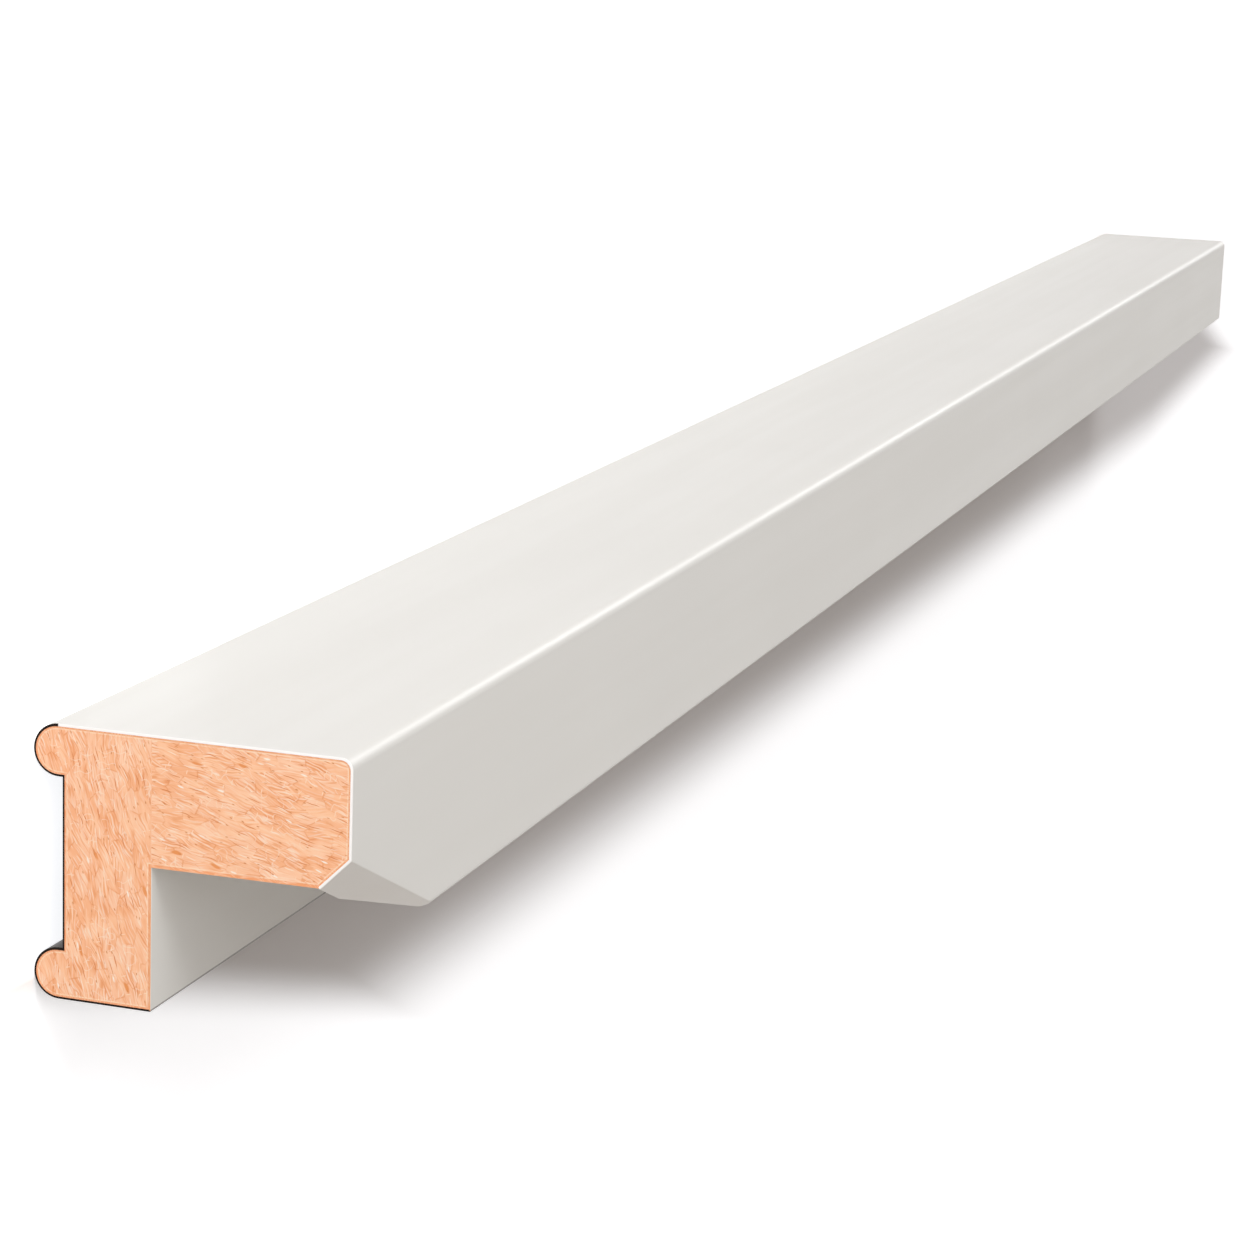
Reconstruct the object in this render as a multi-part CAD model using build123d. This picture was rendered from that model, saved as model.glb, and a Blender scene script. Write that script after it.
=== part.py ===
from build123d import *
import os

# Light rail moulding: one length of milled wood, painted all round and sawn square at both ends.
#
# The section is named as the moulding hangs under a cabinet: a back leg, a flange that runs
# forward from the top of the leg, and a lip that drops from the flange's front edge.
# The leg's back has a round bead along its top and along its foot, with a recess between them.
# At one end the lip is clipped: a flat cut takes off its corner and runs out along its foot.
#
# The part lies on its two beads, as it rests on a level floor.
# X runs along the length, from the clipped end to the plain one.
# Y runs up the hung section, from the leg's foot to the top face.
# Z runs up from the floor, from the beads to the front face.
# The origin is on the floor, below the middle of the part.

# Stock length, in millimetres as all sizes here
length = 1200.0

# Overall section, as hung
height = 57.0  # foot of the leg to the top face
depth = 62.0  # wall of the back recess to the front face

# Back leg and its two beads
leg_thickness = 19.5  # wall of the back recess to the leg's front
bead_radius = 5.4
bead_neck = 0.9  # straight sides of a bead, between the recess wall and its round

# Flange and lip
flange_thickness = 27.0
front_edge_radius = 2.5  # long edge between the top face and the front face
lip_thickness = 6.6
lip_drop = 14.4  # lip's foot below the flange's underside
lip_heel = 4.5  # bottom of the lip's inner face below the flange's underside
lip_foot = 1.8  # flat foot of the lip, in front of its back bevel
lip_edge_radius = 1.2  # long edge between the front face and the lip's foot

# Clipped end of the lip
clip_rise = 6.6  # top of the cut on the end, above the flange's underside
clip_run = 45.0  # reach of the cut along the lip's foot, from the end

# Levels of the section that several features share
underside = height - flange_thickness
lip_inner = depth - lip_thickness
lip_bottom = underside - lip_drop
bead_projection = bead_neck + bead_radius


def section_point(up, forward):
    """A place in the hung section, as it lies on the drawing plane across the length."""
    return (up - height / 2, forward + bead_projection)


def bead_outline(upper, lower):
    """The round of one bead, from its upper side to its lower side."""
    return ThreePointArc(
        section_point(upper, -bead_neck),
        section_point((upper + lower) / 2, -bead_projection),
        section_point(lower, -bead_neck),
    )


def rounded_corner(face, corner, radius):
    """The face with its one corner at the given place rounded."""
    nearest = face.vertices().sort_by_distance(Vector(*corner, 0))[0]
    return fillet(nearest, radius)


def section_face():
    """The whole section as one face, with its two long front edges rounded."""
    top_bead_lower = height - 2 * bead_radius
    foot_bead_upper = 2 * bead_radius
    front_outline = Polyline(
        section_point(0, -bead_neck),
        section_point(0, leg_thickness),
        section_point(underside, leg_thickness),
        section_point(underside, lip_inner),
        section_point(underside - lip_heel, lip_inner),
        section_point(lip_bottom, depth - lip_foot),
        section_point(lip_bottom, depth),
        section_point(height, depth),
        section_point(height, -bead_neck),
    )
    recess_outline = Polyline(
        section_point(top_bead_lower, -bead_neck),
        section_point(top_bead_lower, 0),
        section_point(foot_bead_upper, 0),
        section_point(foot_bead_upper, -bead_neck),
    )
    top_bead = bead_outline(height, top_bead_lower)
    foot_bead = bead_outline(foot_bead_upper, 0)
    face = make_face([front_outline, top_bead, recess_outline, foot_bead])
    face = rounded_corner(face, section_point(height, depth), front_edge_radius)
    lip_round = min(lip_edge_radius, 0.9 * lip_foot)
    return rounded_corner(face, section_point(lip_bottom, depth), lip_round)


def lip_clip():
    """What the clip takes away: all that lies outside one slanting plane, on the lip's side of the groove."""
    end = -length / 2
    at_inner_face = Vector(end, *section_point(underside, lip_inner))
    at_front_face = Vector(end, *section_point(underside + clip_rise, depth))
    at_run_out = Vector(end + clip_run, *section_point(lip_bottom, depth))
    across = at_front_face - at_inner_face
    outward = (at_run_out - at_inner_face).cross(across)
    cut = Plane(origin=at_inner_face, x_dir=across, z_dir=outward)
    reach = 2 * (clip_run + flange_thickness + lip_drop)
    on_plane = (Align.CENTER, Align.CENTER, Align.MIN)
    outside = cut * Box(reach, reach, reach, align=on_plane)

    groove_middle = (leg_thickness + lip_inner) / 2
    lip_side = Box(2 * length, 2 * height, 2 * depth, align=on_plane)
    return outside & Pos(0, *section_point(underside, groove_middle)) * lip_side


def moulding():
    """The milled length, with the lip clipped at its first end."""
    bar = extrude(Plane.YZ * section_face(), amount=length / 2, both=True)
    return bar - lip_clip()


os.makedirs("parts", exist_ok=True)
export_step(moulding(), "parts/moulding.step")
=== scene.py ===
import math

import bmesh
import bpy
from mathutils import Matrix, Vector
from mathutils.geometry import intersect_point_line


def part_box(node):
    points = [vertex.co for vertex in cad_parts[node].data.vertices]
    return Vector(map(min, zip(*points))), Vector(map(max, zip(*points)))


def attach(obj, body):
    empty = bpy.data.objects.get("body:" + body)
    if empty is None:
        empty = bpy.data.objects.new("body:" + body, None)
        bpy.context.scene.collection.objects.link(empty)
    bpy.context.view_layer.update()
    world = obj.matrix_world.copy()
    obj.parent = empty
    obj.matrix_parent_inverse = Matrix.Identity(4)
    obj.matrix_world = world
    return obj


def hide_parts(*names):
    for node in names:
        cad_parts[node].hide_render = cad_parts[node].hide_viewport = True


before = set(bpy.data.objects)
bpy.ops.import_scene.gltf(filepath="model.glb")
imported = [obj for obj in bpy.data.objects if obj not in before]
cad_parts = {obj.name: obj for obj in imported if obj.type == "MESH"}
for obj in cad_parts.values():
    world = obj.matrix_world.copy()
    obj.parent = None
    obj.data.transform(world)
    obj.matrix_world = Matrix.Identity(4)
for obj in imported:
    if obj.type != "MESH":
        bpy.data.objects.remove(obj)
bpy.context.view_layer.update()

# Moulding
# One length of softwood, milled to its section, painted on its long faces and sawn square at both ends.
# It lies on the two beads of its back, with the face that hides the lights upwards.
mm = 0.001
low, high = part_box("moulding")
height = high.y - low.y
depth = 62.0 * mm
leg_thickness = 19.5 * mm
bead_radius = 5.4 * mm
bead_neck = 0.9 * mm
flange_thickness = 27.0 * mm
front_edge_radius = 2.5 * mm
lip_thickness = 6.6 * mm
lip_drop = 14.4 * mm
lip_heel = 4.5 * mm
lip_foot = 1.8 * mm
lip_edge_radius = 1.2 * mm
clip_rise = 6.6 * mm
clip_run = 45.0 * mm
arris = 0.2 * mm
film_width = 0.32 * mm
film_step = 0.08 * mm
soak_width = 0.65 * mm

underside = height - flange_thickness
lip_inner = depth - lip_thickness
lip_bottom = underside - lip_drop
recess_wall = high.z - depth
leg_front = recess_wall + leg_thickness


def section_place(up, forward, along=0.0):
    """A place in the hung section, on the clipped end or further along the length."""
    return Vector((low.x + along, low.y + up, recess_wall + forward))


# The outline is one loop of corners, with the beads turned as half circles.
front_places = [
    (0, -bead_neck),
    (0, leg_thickness),
    (underside, leg_thickness),
    (underside, lip_inner),
    (underside - lip_heel, lip_inner),
    (lip_bottom, depth - lip_foot),
    (lip_bottom, depth),
    (height, depth),
    (height, -bead_neck),
]
recess_places = [
    (height - 2 * bead_radius, -bead_neck),
    (height - 2 * bead_radius, 0),
    (2 * bead_radius, 0),
    (2 * bead_radius, -bead_neck),
]
bead_steps = 24
edge_steps = 8
solid = bmesh.new()
front_corners = [solid.verts.new(section_place(*place)) for place in front_places]
recess_corners = [solid.verts.new(section_place(*place)) for place in recess_places]
for corners in (front_corners, recess_corners):
    for start, end in zip(corners, corners[1:]):
        solid.edges.new((start, end))
for start, middle_up in ((front_corners[-1], height - bead_radius), (recess_corners[-1], bead_radius)):
    bmesh.ops.spin(
        solid,
        geom=[start],
        cent=section_place(middle_up, -bead_neck),
        axis=(-1, 0, 0),
        angle=math.pi,
        steps=bead_steps,
    )
bmesh.ops.remove_doubles(solid, verts=solid.verts, dist=0.01 * mm)
bmesh.ops.contextual_create(solid, geom=solid.edges[:])
lip_corner, top_corner = front_corners[6:8]
for corner, radius in ((top_corner, front_edge_radius), (lip_corner, lip_edge_radius)):
    bmesh.ops.bevel(
        solid,
        geom=[corner],
        offset=radius,
        segments=edge_steps,
        profile=0.5,
        affect="VERTICES",
        material=-1,
    )
solid.faces.ensure_lookup_table()
outline = [corner.co.copy() for corner in solid.faces[0].verts]

# The outline is drawn out to the length, and the lip is clipped by one slanting plane.
drawn = bmesh.ops.extrude_face_region(solid, geom=solid.faces[:])
far_corners = [part for part in drawn["geom"] if isinstance(part, bmesh.types.BMVert)]
bmesh.ops.translate(solid, vec=(high.x - low.x, 0, 0), verts=far_corners)
at_inner_face = section_place(underside, lip_inner)
at_front_face = section_place(underside + clip_rise, depth)
at_run_out = section_place(lip_bottom, depth, clip_run)
clipped = bmesh.ops.bisect_plane(
    solid,
    geom=solid.verts[:] + solid.edges[:] + solid.faces[:],
    dist=0.001 * mm,
    plane_co=at_inner_face,
    plane_no=(at_run_out - at_inner_face).cross(at_front_face - at_inner_face),
    clear_outer=True,
)
cut_edges = [part for part in clipped["geom_cut"] if isinstance(part, bmesh.types.BMEdge)]
bmesh.ops.contextual_create(solid, geom=cut_edges)
bmesh.ops.recalc_face_normals(solid, faces=solid.faces)


def at_end(place):
    """Whether a place belongs to a sawn end or to its eased edge."""
    return abs(place.x) > high.x - arris


def in_groove(place):
    """Whether a place on a sawn end is beside the groove, where the saw left no rim of paint."""
    return (
        low.y + arris < place.y < low.y + underside + film_width
        and leg_front - film_width < place.z < recess_wall + lip_inner - arris
    )


# Sanding and paint have eased every sharp outer edge a little, but not those around the groove's ends.
sharp = math.radians(30)
eased = []
for edge in solid.edges:
    middle = (edge.verts[0].co + edge.verts[1].co) / 2
    if edge.calc_face_angle_signed(0) > sharp and not (at_end(middle) and in_groove(middle)):
        eased.append(edge)
bmesh.ops.bevel(
    solid,
    geom=eased,
    offset=arris,
    segments=2,
    profile=0.5,
    affect="EDGES",
    material=-1,
)
bmesh.ops.remove_doubles(solid, verts=solid.verts, dist=0.001 * mm)

# On each sawn end the paint shows as a thin rim, and the wood inside it lies a little lower.
# Paint has soaked into the wood beside the rim, and the back and the foot have a dark line of painted shade.
PAINT, WOOD, PAINTED_SHADE = 0, 1, 2
end_area = 1000 * mm * mm
ends = [face for face in solid.faces if at_end(face.calc_center_median()) and face.calc_area() > end_area]
rims = bmesh.ops.inset_region(solid, faces=ends, thickness=film_width, use_even_offset=True)["faces"]
steps = bmesh.ops.inset_region(
    solid,
    faces=ends,
    thickness=0.5 * film_step,
    depth=-film_step,
    use_even_offset=True,
)["faces"]
soaked = bmesh.ops.inset_region(solid, faces=ends, thickness=soak_width, use_even_offset=True)["faces"]
soak = solid.verts.layers.float.new("soak")
inner = {corner for face in ends for corner in face.verts}
unpainted = [face for face in rims if in_groove(face.calc_center_median())]
for face in unpainted + steps + soaked + ends:
    face.material_index = WOOD
    for corner in face.verts:
        corner[soak] = 0.0 if corner in inner else 1.0
# The rim and arris faces on the back and the foot of each end take the dark painted shade.
for face in solid.faces:
    middle = face.calc_center_median()
    on_back = min(middle.z - recess_wall, middle.y - low.y) < arris + film_width
    if on_back and at_end(middle) and face.material_index == PAINT:
        face.material_index = PAINTED_SHADE


def round_section(place):
    """How far round the section a place on a long face is."""
    across = Vector((low.x, place.y, place.z))
    found = []
    walked = 0.0
    for start, end in zip(outline, outline[1:] + outline[:1]):
        share = intersect_point_line(across, start, end)[1]
        share = min(max(share, 0.0), 1.0)
        found.append(((start.lerp(end, share) - across).length, walked + share * (end - start).length))
        walked += (end - start).length
    return min(found)[1] / walked


# The map for baked pictures gives each sawn end a large place and lays the long faces out below them.
# Its places are shares of the picture, and the ends' scale is in pictures for a metre.
end_scale = 6.8
end_bottom = 0.51
near_left = 0.02
far_left = 0.52
long_left = 0.01
long_width = 0.98
long_bottom = 0.02
long_height = 0.46
picture = solid.loops.layers.uv.new("OFBake")
for face in solid.faces:
    middle = face.calc_center_median()
    for corner in face.loops:
        place = corner.vert.co
        if at_end(middle):
            left = near_left if middle.x < 0 else far_left
            spot = (left + end_scale * (place.y - low.y), end_bottom + end_scale * place.z)
        else:
            along = (place.x - low.x) / (high.x - low.x)
            turn = round_section(place) - round_section(middle)
            girth = round_section(middle) + turn - round(turn)
            spot = (long_left + long_width * along, long_bottom + long_height * girth)
        corner[picture].uv = spot

for face in solid.faces:
    face.smooth = True
for edge in solid.edges:
    edge.smooth = edge.calc_face_angle(0) < sharp
mesh = bpy.data.meshes.new("moulding_painted")
solid.to_mesh(mesh)
solid.free()
moulding = bpy.data.objects.new("moulding_painted", mesh)
bpy.context.scene.collection.objects.link(moulding)
even = moulding.modifiers.new("even_faces", "WEIGHTED_NORMAL")
even.keep_sharp = True
even.weight = 100


def linear(colour):
    """An sRGB hex colour as linear red, green, blue and alpha."""
    channels = [int(colour[i : i + 2], 16) / 255 for i in (1, 3, 5)]
    return [c / 12.92 if c <= 0.04045 else ((c + 0.055) / 1.055) ** 2.4 for c in channels] + [1.0]


def add(kind, inputs=None, **settings):
    """A new node in the tree at hand, with its settings, and with a value or a link for each input."""
    node = tree.nodes.new("ShaderNode" + kind)
    for name, value in settings.items():
        setattr(node, name, value)
    for socket, value in (inputs or {}).items():
        if isinstance(value, bpy.types.NodeSocket):
            tree.links.new(value, node.inputs[socket])
        else:
            node.inputs[socket].default_value = value
    return node


def new_finish(name):
    """A material with an empty tree."""
    finish = bpy.data.materials.new(name)
    finish.use_nodes = True
    finish.node_tree.nodes.clear()
    return finish


def lay(ink, ground, pattern, start, full, strength=1.0):
    """The ground with an ink laid on it, from none at one level of a pattern to its full strength at another.

    A Mix node has sockets of the same name for each kind of value, so its colours go by number.
    """
    share = add(
        "MapRange",
        {"Value": pattern, "From Min": start, "From Max": full, "To Max": strength},
        interpolation_type="SMOOTHSTEP",
    )
    return add("Mix", {0: share.outputs[0], 6: ground, 7: linear(ink)}, data_type="RGBA").outputs[2]


# Satin acrylic paint, sprayed on and lightly sanded: an even off-white with a soft sheen, a faint orange peel
# and slightly drier and glossier streaks along the length. At each sawn end the paint's cut edge is made
# whiter than the paint, as a painted highlight.
# Painted shade darkens the back recess a little way in from the clipped end, and a dark line of painted shade
# lies along the leg's inner foot edge.
paint = new_finish("satin_acrylic_paint")
tree = paint.node_tree
cloud_size = 60 * mm
peel_size = 2.2 * mm
streak_size = (220 * mm, 6 * mm, 6 * mm)
place = add("TexCoord").outputs["Object"]
axes = add("SeparateXYZ", {0: place}).outputs
either_side = add("VectorMath", {0: place}, operation="ABSOLUTE").outputs[0]
from_middle = add("SeparateXYZ", {0: either_side}).outputs
cloud = add("TexNoise", {"Vector": place, "Scale": 1 / cloud_size, "Detail": 2.0}).outputs["Fac"]
peel = add("TexNoise", {"Vector": place, "Scale": 1 / peel_size, "Detail": 2.0}).outputs["Fac"]
streak_place = add("Mapping", {"Vector": place, "Scale": streak_size}, vector_type="TEXTURE").outputs[0]
streak = add("TexNoise", {"Vector": streak_place, "Scale": 1.0, "Detail": 3.0}).outputs["Fac"]
coat_colours = {0: cloud, 6: linear("#E1E0DB"), 7: linear("#E5E4DF")}
coat_colour = add("Mix", coat_colours, data_type="RGBA").outputs[2]

# Painted shade: the paint in the back recess near the clipped end is made nearly black, where the bead's top
# lies in shade.
recess_shade_from = low.x + 70 * mm
recess_shade_to = low.x + 20 * mm
recess_shade_lift = recess_wall + 0.2 * mm
recess_shade_edge = 22.5 * mm
recess_shade_inside = 21 * mm
recess_shade = 1.0
for value, start, full in (
    (axes["X"], recess_shade_from, recess_shade_to),
    (axes["Z"], recess_shade_lift, recess_wall),
):
    recess_shade = add(
        "MapRange",
        {"Value": value, "From Min": start, "From Max": full, "To Max": recess_shade},
        interpolation_type="SMOOTHSTEP",
    ).outputs[0]
coat_colour = lay("#3A2C25", coat_colour, from_middle["Y"], recess_shade_edge, recess_shade_inside, recess_shade)

# Painted highlight: within a quarter of a millimetre of each sawn end the paint is made nearly white.
rim_highlight_start = high.x - 0.25 * mm
rim_highlight_full = high.x - 0.15 * mm
coat_colour = lay("#FCFBF9", coat_colour, from_middle["X"], rim_highlight_start, rim_highlight_full)

# Painted shade: a dark line is laid along the leg's inner foot edge, where the leg meets the shadow on the
# floor.
foot_shade_top = low.y + 0.6 * mm
foot_shade_full = low.y + 0.3 * mm
foot_shade_side = leg_front - 0.4 * mm
foot_shade_front = leg_front - 0.2 * mm
foot_shade_strength = 0.75
foot_shade = add(
    "MapRange",
    {"Value": axes["Y"], "From Min": foot_shade_top, "From Max": foot_shade_full, "To Max": foot_shade_strength},
    interpolation_type="SMOOTHSTEP",
).outputs[0]
coat_colour = lay("#4A423C", coat_colour, axes["Z"], foot_shade_side, foot_shade_front, foot_shade)

glossiest = 0.34
driest = 0.42
coat_roughness = add(
    "MapRange",
    {"Value": streak, "From Min": 0.3, "From Max": 0.7, "To Min": glossiest, "To Max": driest},
    interpolation_type="SMOOTHSTEP",
).outputs[0]
coat_bump = add("Bump", {"Height": peel, "Strength": 0.08, "Distance": 0.05 * mm}).outputs[0]
coat = add(
    "BsdfPrincipled",
    {
        "Base Color": coat_colour,
        "Roughness": coat_roughness,
        "IOR": 1.5,
        "Specular IOR Level": 0.25,
        "Normal": coat_bump,
    },
)
add("OutputMaterial", {"Surface": coat.outputs[0]})

# Sawn softwood: raw peach-coloured end grain, dull and fibrous, in strokes that run steeply through the leg
# and nearly level through the flange, with pale torn fibres, small dark pores and stained spots.
wood = new_finish("sawn_softwood")
tree = wood.node_tree
leg_grain = (0, 0, math.radians(-74))
flange_grain = (0, 0, math.radians(-15))
grain_turn_width = 0.3 * mm
wave_size = 7 * mm
wave_reach = 0.35 * mm
axes = add("SeparateXYZ", {0: add("TexCoord").outputs["Object"]}).outputs
section = add("CombineXYZ", {"X": axes["Z"], "Y": axes["Y"]}).outputs[0]
along_leg = add("Mapping", {"Vector": section, "Rotation": leg_grain}, vector_type="TEXTURE").outputs[0]
along_flange = add("Mapping", {"Vector": section, "Rotation": flange_grain}, vector_type="TEXTURE").outputs[0]
in_flange = add(
    "MapRange",
    {"Value": axes["Z"], "From Min": leg_front - grain_turn_width, "From Max": leg_front},
    interpolation_type="SMOOTHSTEP",
).outputs[0]
straight = add("Mix", {0: in_flange, 4: along_leg, 5: along_flange}, data_type="VECTOR").outputs[1]
wave = add(
    "TexNoise",
    {"Vector": straight, "Scale": 1 / wave_size, "Detail": 2.0},
    noise_dimensions="2D",
).outputs["Fac"]
sway = add(
    "MapRange",
    {"Value": wave, "From Min": 0.2, "From Max": 0.8, "To Min": -wave_reach, "To Max": wave_reach},
    interpolation_type="SMOOTHSTEP",
).outputs[0]
bend = add("CombineXYZ", {"Y": sway}).outputs[0]
grain = add("VectorMath", {0: straight, 1: bend}, operation="ADD").outputs[0]

tone_size = (7 * mm, 2.6 * mm, 1)
tone_place = add("Mapping", {"Vector": grain, "Scale": tone_size}, vector_type="TEXTURE").outputs[0]
tone = add(
    "TexNoise",
    {"Vector": tone_place, "Scale": 1.0, "Detail": 3.0},
    noise_dimensions="2D",
).outputs["Fac"]
colour = lay("#FECBA4", linear("#F8B88C"), tone, start=0.3, full=0.7)

# The fibres lie in short plates, each turned a little, with its own tone and a fine dark joint.
# Each plate draws three numbers: for its turn and curls, its tone, and how fibrous and hatched it is.
plate_size = (5 * mm, 1.7 * mm, 1)
plate_turn = math.radians(18)
plate_place = add("Mapping", {"Vector": grain, "Scale": plate_size}, vector_type="TEXTURE").outputs[0]
plate = add("TexVoronoi", {"Vector": plate_place, "Scale": 1.0}, voronoi_dimensions="2D").outputs
plate_middle = add(
    "Mapping",
    {"Vector": plate["Position"], "Scale": plate_size},
    vector_type="POINT",
).outputs[0]
turn_draw, tone_draw, fibre_draw = add("SeparateColor", {0: plate["Color"]}).outputs
plate_angle = add(
    "MapRange",
    {"Value": turn_draw, "To Min": -plate_turn, "To Max": plate_turn},
    interpolation_type="SMOOTHSTEP",
).outputs[0]
turned = add(
    "VectorRotate",
    {"Vector": grain, "Center": plate_middle, "Angle": plate_angle},
    rotation_type="Z_AXIS",
).outputs[0]
colour = lay("#FFD6B8", colour, tone_draw, start=0.3, full=1.2, strength=0.6)

fibre_size = (3.6 * mm, 0.33 * mm, 1)
least_fibrous = 0.2
most_fibrous = 0.7
fibre_place = add("Mapping", {"Vector": turned, "Scale": fibre_size}, vector_type="TEXTURE").outputs[0]
fibre = add(
    "TexNoise",
    {"Vector": fibre_place, "Scale": 1.0, "Detail": 0.0},
    noise_dimensions="2D",
).outputs["Fac"]
fibrous = add(
    "MapRange",
    {"Value": fibre_draw, "From Max": 0.9, "To Min": least_fibrous, "To Max": most_fibrous},
    interpolation_type="SMOOTHSTEP",
).outputs[0]
colour = lay("#EC9A64", colour, fibre, start=0.42, full=0.25, strength=fibrous)
colour = lay("#FFE6D2", colour, fibre, start=0.58, full=0.75, strength=fibrous)

# A wave's bands are a twentieth of a full turn apart at a scale of one.
hatch_size = 0.62 * mm
hatch_strength = 0.4
hatch = add(
    "TexWave",
    {"Vector": turned, "Scale": math.tau / (20 * hatch_size), "Distortion": 0.6, "Detail": 0.0},
    bands_direction="Y",
).outputs["Fac"]
hatched = add(
    "MapRange",
    {"Value": fibre_draw, "From Min": 0.7, "From Max": 0.8, "To Max": hatch_strength},
    interpolation_type="SMOOTHSTEP",
).outputs[0]
colour = lay("#EEA06E", colour, hatch, start=0.4, full=1.0, strength=hatched)

joint_width = 0.05
joint_strength = 0.6
joint = add(
    "TexVoronoi",
    {"Vector": plate_place, "Scale": 1.0},
    voronoi_dimensions="2D",
    feature="DISTANCE_TO_EDGE",
).outputs["Distance"]
jointed = add(
    "MapRange",
    {"Value": tone, "From Min": 0.62, "From Max": 0.4, "To Max": joint_strength},
    interpolation_type="SMOOTHSTEP",
).outputs[0]
colour = lay("#E8925A", colour, joint, start=joint_width, full=0.0, strength=jointed)

# Torn fibres, stains and pores are scattered along the grain, about one to a cell, some strong, some faint.
# Each row has a cell's size, a mark's reach, the share of cells that have one, a shift and an ink.
for cell, reach, chance, seed, ink in (
    ((9 * mm, 5 * mm), (1.6 * mm, 0.45 * mm), 0.3, 0.31, "#EC9A5E"),
    ((6 * mm, 1.6 * mm), (2.0 * mm, 0.11 * mm), 0.7, 0.22, "#E08A54"),
    ((5 * mm, 1.8 * mm), (1.5 * mm, 0.13 * mm), 0.6, 0.66, "#FFE4CE"),
    ((4 * mm, 3 * mm), (0.12 * mm, 0.6 * mm), 0.5, 0.83, "#FFDCC0"),
    ((8 * mm, 4 * mm), (0.9 * mm, 0.22 * mm), 0.5, 0.44, "#FFF0E2"),
    ((2.8 * mm, 2.0 * mm), (0.4 * mm, 0.13 * mm), 0.6, 0.71, "#DC8E58"),
):
    mark_place = add(
        "Mapping",
        {"Vector": grain, "Location": (seed * cell[0], seed * cell[1], 0), "Scale": (*cell, 1)},
        vector_type="TEXTURE",
    ).outputs[0]
    mark = add(
        "TexVoronoi",
        {"Vector": mark_place, "Scale": 1.0, "Randomness": 0.9},
        voronoi_dimensions="2D",
    ).outputs
    offset = add("VectorMath", {0: mark_place, 1: mark["Position"]}, operation="SUBTRACT").outputs[0]
    fit = (cell[0] / reach[0], cell[1] / reach[1], 0)
    inside = add("VectorMath", {0: offset, 1: fit}, operation="MULTIPLY").outputs[0]
    distance = add("VectorMath", {0: inside}, operation="LENGTH").outputs["Value"]
    mark_draw = add("SeparateColor", {0: mark["Color"]}).outputs[0]
    marked = add(
        "MapRange",
        {"Value": mark_draw, "From Min": 1 - chance, "From Max": 1.1 - 0.5 * chance},
        interpolation_type="SMOOTHSTEP",
    ).outputs[0]
    colour = lay(ink, colour, distance, start=1.0, full=0.5, strength=marked)

# Some torn fibres curl into thin pale lines, where a noise passes its middle level.
curl_size = 2.4 * mm
curl_strength = 0.5
curl = add(
    "TexNoise",
    {"Vector": section, "Scale": 1 / curl_size, "Detail": 0.0},
    noise_dimensions="2D",
).outputs["Fac"]
above_middle = add("Math", {0: curl, 1: 0.5}, operation="SUBTRACT").outputs[0]
off_middle = add("Math", {0: above_middle}, operation="ABSOLUTE").outputs[0]
curled = add(
    "MapRange",
    {"Value": turn_draw, "From Min": 0.55, "From Max": 0.75, "To Max": curl_strength},
    interpolation_type="SMOOTHSTEP",
).outputs[0]
colour = lay("#FFE9D6", colour, off_middle, start=0.03, full=0.01, strength=curled)

# Paint soaks into the wood beside the rim, further along some fibres: a pale edge, then a darker one outside.
least_soaked = 0.35
most_soaked = 0.9
soaked_in = add("Attribute", attribute_name="soak").outputs["Fac"]
soaked_share = add(
    "MapRange",
    {"Value": fibre, "From Min": 0.35, "From Max": 0.6, "To Min": least_soaked, "To Max": most_soaked},
    interpolation_type="SMOOTHSTEP",
).outputs[0]
colour = lay("#FFE0C2", colour, soaked_in, start=0.0, full=0.25, strength=soaked_share)
colour = lay("#EE9F6B", colour, soaked_in, start=0.35, full=0.7, strength=soaked_share)
grain_bump = add("Bump", {"Height": fibre, "Strength": 0.3, "Distance": 0.05 * mm}).outputs[0]
bare_wood = add(
    "BsdfPrincipled",
    {"Base Color": colour, "Roughness": 0.8, "Specular IOR Level": 0.2, "Normal": grain_bump},
)
add("OutputMaterial", {"Surface": bare_wood.outputs[0]})

# Painted shade: a thin uneven dark line round the back and the foot of each sawn end, with hardly
# any gloss.
shade_line = new_finish("painted_shade_line")
tree = shade_line.node_tree
mottle_size = 3 * mm
smoothest = 0.6
roughest = 0.8
place = add("TexCoord").outputs["Object"]
mottle = add("TexNoise", {"Vector": place, "Scale": 1 / mottle_size, "Detail": 2.0}).outputs["Fac"]
darks = {0: mottle, 6: linear("#0F0C0A"), 7: linear("#231A16")}
dark = add("Mix", darks, data_type="RGBA").outputs[2]
shade_line_roughness = add(
    "MapRange",
    {"Value": mottle, "From Min": 0.2, "From Max": 0.8, "To Min": smoothest, "To Max": roughest},
    interpolation_type="SMOOTHSTEP",
).outputs[0]
shade_line_surface = add(
    "BsdfPrincipled",
    {"Base Color": dark, "Roughness": shade_line_roughness, "Specular IOR Level": 0.1},
)
add("OutputMaterial", {"Surface": shade_line_surface.outputs[0]})
for finish in (paint, wood, shade_line):
    mesh.materials.append(finish)
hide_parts("moulding")
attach(moulding, "root")

# Floor
# A wide matt white studio floor at the level the beads rest on. To the camera it glows a little, so that it
# reads as white paper. In the strip of the shadow below the foot it doesn't, so that it keeps the shadow.
# The strip's edges are drawn to a shadow's outline, and beyond the plain end the strip is painted shadow
# where no lamp's shadow falls.
floor_reach = 30.0
floor_shape = bmesh.new()
bmesh.ops.create_grid(floor_shape, x_segments=1, y_segments=1, size=floor_reach)
floor_mesh = bpy.data.meshes.new("studio_floor")
floor_shape.to_mesh(floor_mesh)
floor_shape.free()
floor = bpy.data.objects.new("studio_floor", floor_mesh)
bpy.context.scene.collection.objects.link(floor)


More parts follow.
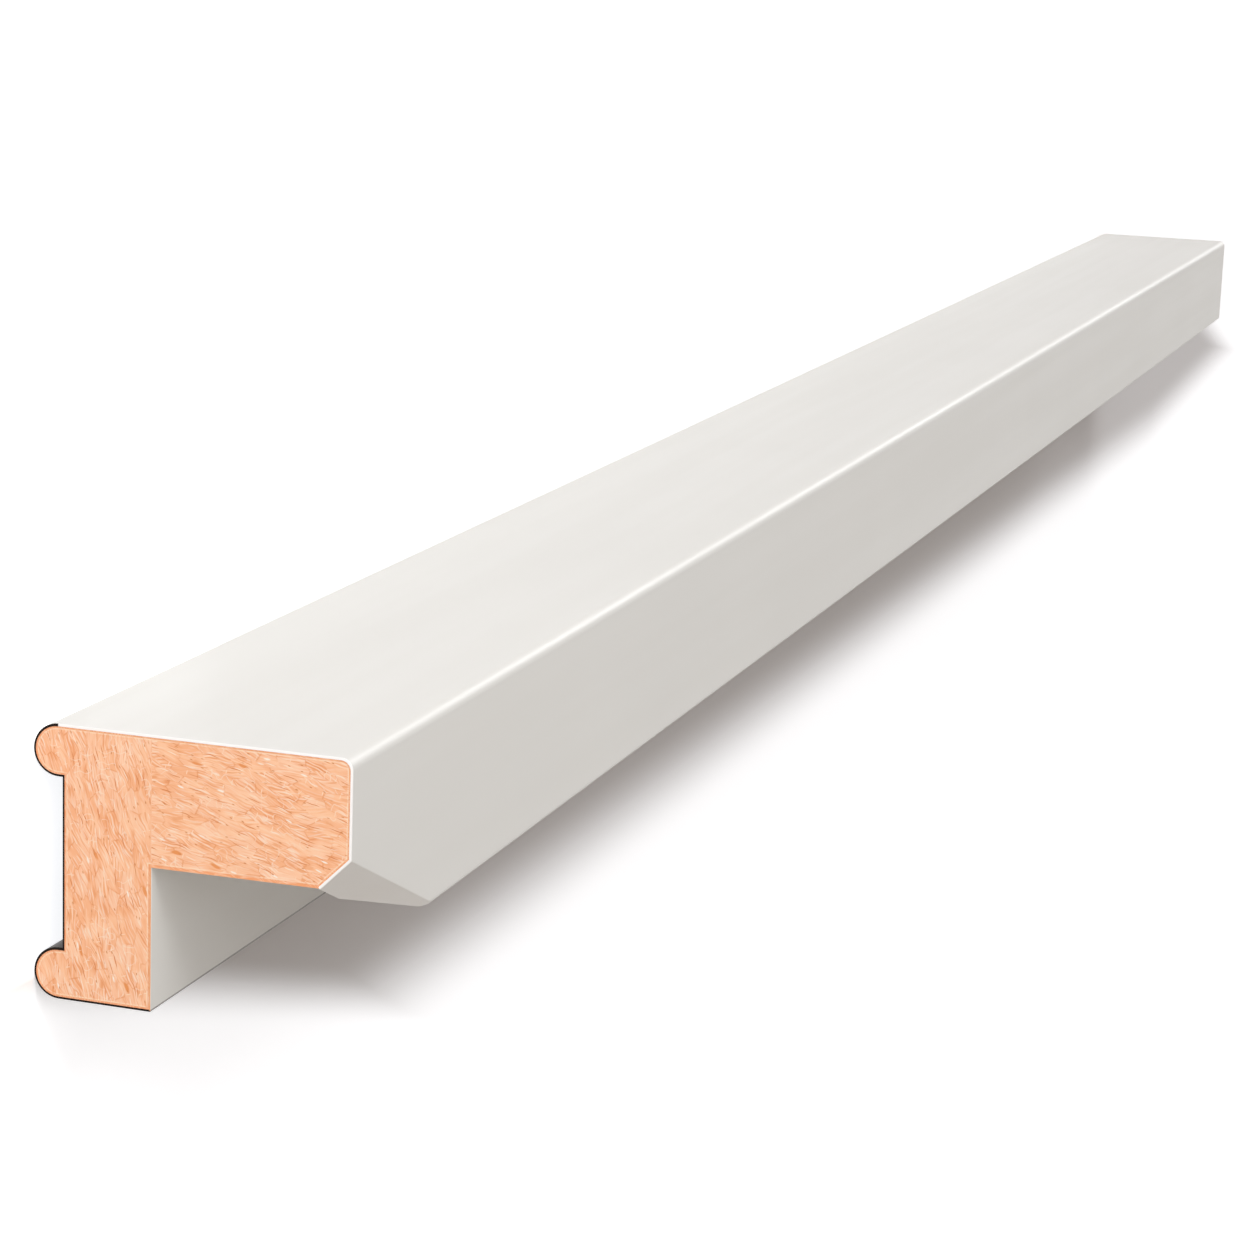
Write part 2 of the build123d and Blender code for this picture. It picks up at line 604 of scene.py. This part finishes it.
def seen_directly():
    """One where a surface is seen by the camera, in gloss or through glass, and none where it only lights."""
    ray = add("LightPath").outputs
    shown = ray["Is Camera Ray"]
    for other in ("Is Glossy Ray", "Is Transmission Ray"):
        shown = add("Math", {0: shown, 1: ray[other]}, operation="MAXIMUM").outputs[0]
    return shown


# Matt white paper: even, without gloss. Each edge of its glow is a line on the floor, given by the direction
# across the line, the distances where the glow starts and is full, and its level. These edges paint the
# shadow's shape, and beyond the plain end the tail without glow is painted shadow.
# Behind the recess and near the clipped end the glow is stronger: painted light over the shadow, so that no
# shadow shows between the beads.
paper = new_finish("matt_white_paper")
tree = paper.node_tree
glow_level = 0.58
end_level = 0.64
recess_level = 0.9
recess_from = low.x + 130 * mm
recess_full = low.x + 60 * mm
foot_fade = low.y + 8 * mm
along_length = (1, 0, 0)
up_section = (0, 1, 0)
place = add("TexCoord").outputs["Object"]
from_origin = add("VectorMath", {0: place, 1: along_length}, operation="DOT_PRODUCT").outputs["Value"]
recess_glow = add(
    "MapRange",
    {"Value": from_origin, "From Min": recess_from, "From Max": recess_full, "To Max": recess_level},
    interpolation_type="SMOOTHSTEP",
).outputs[0]
shadow_painting_glow_edges = {
    "below_clipped_end": ((0.33, 1, 0), -215 * mm, -232 * mm, end_level),
    "before_clipped_end": (along_length, low.x - 5 * mm, low.x - 40 * mm, end_level),
    "below_shadow": ((0.0155, 1, 0), -76 * mm, -112 * mm, glow_level),
    "below_plain_end": ((-0.036, 1, 0), -119 * mm, -155 * mm, glow_level),
    "above_plain_end": ((0.098, 1, 0), 31 * mm, 66 * mm, glow_level),
    "beyond_plain_end": ((0.28, 1, 0), 211 * mm, 241 * mm, glow_level),
    "above_foot": (up_section, low.y, foot_fade, glow_level),
    "behind_recess": (up_section, low.y, foot_fade, recess_glow),
}
glow_here = 0.0
for across, start, full, level in shadow_painting_glow_edges.values():
    reached = add("VectorMath", {0: place, 1: across}, operation="DOT_PRODUCT").outputs["Value"]
    glow_inside = add(
        "MapRange",
        {"Value": reached, "From Min": start, "From Max": full, "To Max": level},
        interpolation_type="SMOOTHSTEP",
    ).outputs[0]
    glow_here = add("Math", {0: glow_here, 1: glow_inside}, operation="MAXIMUM").outputs[0]
shown_glow = add("Math", {0: seen_directly(), 1: glow_here}, operation="MULTIPLY").outputs[0]
glow = add("Emission", {"Color": linear("#FAFCFF"), "Strength": shown_glow})
matt = add("BsdfDiffuse", {"Color": linear("#E6E5E5")})
both = add("AddShader", {0: matt.outputs[0], 1: glow.outputs[0]})
add("OutputMaterial", {"Surface": both.outputs[0]})
floor_mesh.materials.append(paper)

# Light
# Plain soft studio light: a key lamp over the top face, a lamp that skims it, a low warm one below the foot,
# one beyond the plain end that draws the front edge, a panel near the clipped end and a pale room.
# Each lamp has a direction towards it, a level on a face square to it, a spread in degrees and a tint.
cool = "#FCFDFF"
warm = "#FFF2E9"
lamps = {
    "key": ((-0.32, 0.77, 0.55), 0.365, 30, cool),
    "skim": ((-0.90, 0.36, 0.26), 0.225, 45, cool),
    "low": ((-0.50, -0.85, 0.17), 0.265, 45, warm),
    "edge": ((0.87, 0.37, 0.33), 0.240, 24, cool),
}
for name, (towards, level, spread, tint) in lamps.items():
    lamp = bpy.data.lights.new(name, "SUN")
    lamp.energy = level * math.pi
    lamp.angle = math.radians(spread)
    lamp.color = linear(tint)[:3]
    lamp_object = bpy.data.objects.new(name, lamp)
    lamp_object.rotation_euler = Vector(towards).to_track_quat("Z", "Y").to_euler()
    bpy.context.scene.collection.objects.link(lamp_object)
panel = bpy.data.lights.new("panel", "AREA")
panel.energy = 5.0
panel.size = 0.8
panel_object = bpy.data.objects.new("panel", panel)
panel_object.location = (-1.3, 0.7, 0.8)
panel_aim = Vector((-0.45, 0.0, 0.04))
panel_object.rotation_euler = (panel_object.location - panel_aim).to_track_quat("Z", "Y").to_euler()
bpy.context.scene.collection.objects.link(panel_object)

room = bpy.data.worlds.new("pale_room")
bpy.context.scene.world = room
room.use_nodes = True
tree = room.node_tree
tree.nodes.clear()
soft = add("Background", {"Color": linear(warm), "Strength": 0.22})
bright = add("Background", {"Color": linear("#FDFDFD"), "Strength": 1.0})
either = add("MixShader", {0: seen_directly(), 1: soft.outputs[0], 2: bright.outputs[0]})
add("OutputWorld", {"Surface": either.outputs[0]})
bpy.context.scene.view_settings.view_transform = "Standard"

# Camera
# A long lens beyond the clipped end, above the top face and in front of the lip.
# It is turned on its side, so that the top face is at the top of the picture.
camera_data = bpy.data.cameras.new("camera")
camera_data.sensor_width = 36.0
camera_data.lens = 95.06
camera_data.clip_end = 100.0
camera = bpy.data.objects.new("camera", camera_data)
camera_place = Vector((-1.1710, 0.19013, 0.30202))
looking = Vector((0.9321, -0.2125, -0.2934)).normalized()
picture_up = Vector((0.1913, 0.9765, -0.0994))
picture_right = looking.cross(picture_up).normalized()
picture_up = picture_right.cross(looking)
camera_turn = Matrix((picture_right, picture_up, -looking)).transposed()
camera.matrix_world = Matrix.Translation(camera_place) @ camera_turn.to_4x4()
bpy.context.scene.collection.objects.link(camera)
bpy.context.scene.camera = camera
